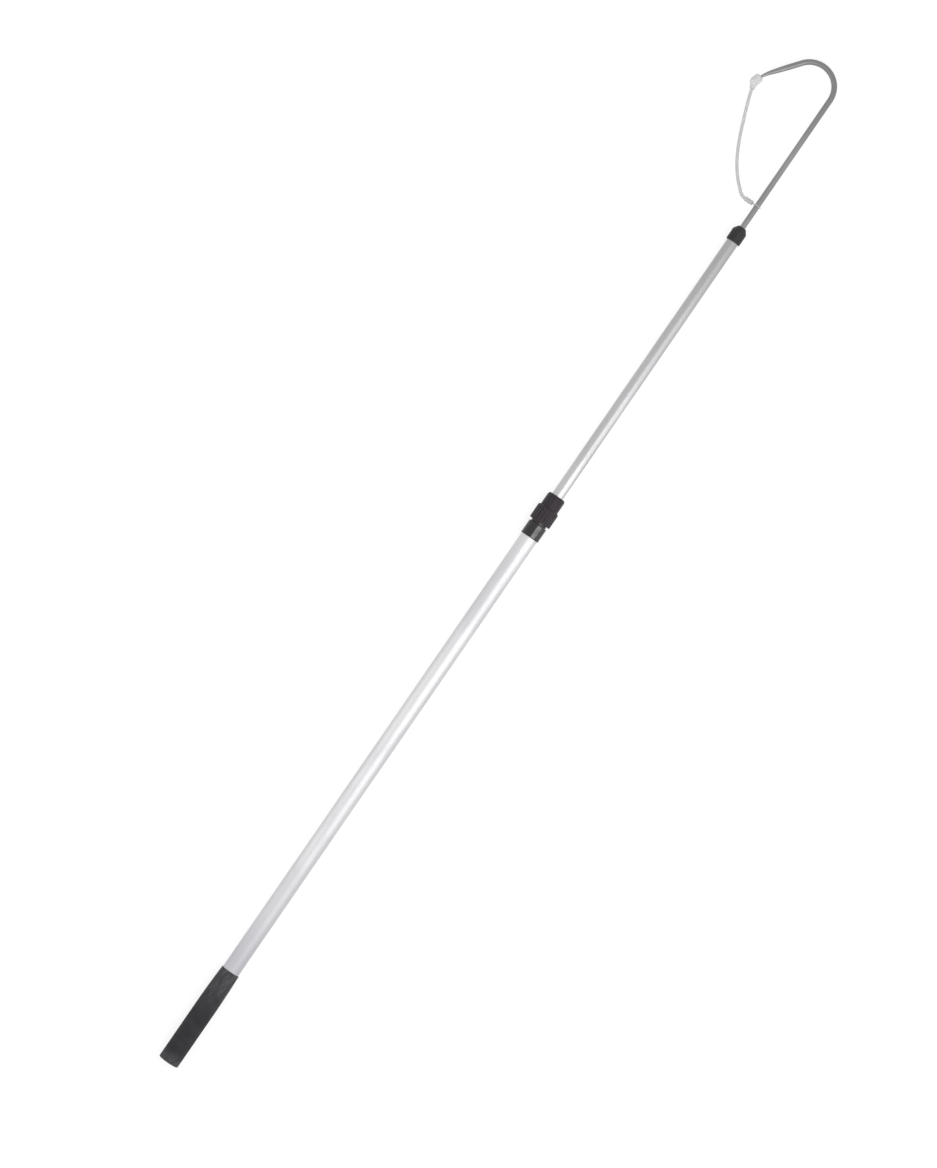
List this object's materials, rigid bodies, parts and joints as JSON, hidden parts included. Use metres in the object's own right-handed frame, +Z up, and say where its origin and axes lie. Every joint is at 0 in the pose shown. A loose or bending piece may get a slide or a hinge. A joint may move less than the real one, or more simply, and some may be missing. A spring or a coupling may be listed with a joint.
{
  "type": "telescoping fishing gaff",
  "caption": "Telescoping pole with a moulded grip, a twist lock and a bent stainless hook; a soft cap on a plastic lead covers the point.",
  "frame": {"origin": "middle of the flat butt face of the grip, on the pole's axis", "axes": "+X along the pole from the butt to the hook, +Y towards the side that the hook opens to, +Z up from the surface that the gaff lies on, which is 14 mm below the pole's axis"},
  "size_m": [1.4337, 0.1074, 0.028],
  "materials": {
    "grip": "matt moulded dark grey-black",
    "tube": "satin clear-anodised, drawn along its length",
    "lock_body": "glossy black moulding",
    "lock_nut": "matt black moulding with fine texture",
    "nose": "matt black moulding",
    "rod": "satin stainless, ground at the point",
    "wire": "bright stainless wire and sleeve",
    "lead": "clear, slightly grey soft plastic",
    "cap": "milky translucent soft plastic",
    "acetal": "natural off-white engineering plastic",
    "insert": "plain dark moulding, out of sight"
  },
  "bodies": {
    "handle": {"grip": "grip", "butt_plug": "insert", "outer_tube": "tube", "lock_body": "lock_body", "clamp_ring": "acetal"},
    "lock_nut": {"lock_nut": "lock_nut"},
    "guide_bush": {"guide_bush": "acetal"},
    "hook_section": {"inner_tube": "tube", "inner_end_plug": "insert", "nose_ferrule": "nose", "front_bush": "insert", "rear_bush": "insert", "cross_pin": "wire", "hook_rod": "rod", "guard_loop": "wire", "crimp_sleeve": "wire", "guard_lead": "lead"},
    "tip_cap": {"tip_cap": "cap"}
  },
  "joints": [
    {"name": "lock_nut_turn", "type": "hinge", "parent": "handle", "child": "lock_nut", "pos_m": [0.8, 0, 0], "axis": [1, 0, 0], "range_deg": [0, 150]},
    {"name": "tube_extension", "type": "slide", "parent": "handle", "child": "guide_bush", "axis": [1, 0, 0], "range_m": [-0.37, 0.242]},
    {"name": "tube_turn", "type": "hinge", "parent": "guide_bush", "child": "hook_section", "pos_m": [0.5, 0, 0], "axis": [1, 0, 0], "continuous": true},
    {"name": "cap_pull", "type": "slide", "parent": "hook_section", "child": "tip_cap", "axis": [-0.9609, 0.2758, -0.0255], "range_m": [0, 0.012], "deforming": ["guard_lead"]}
  ]
}
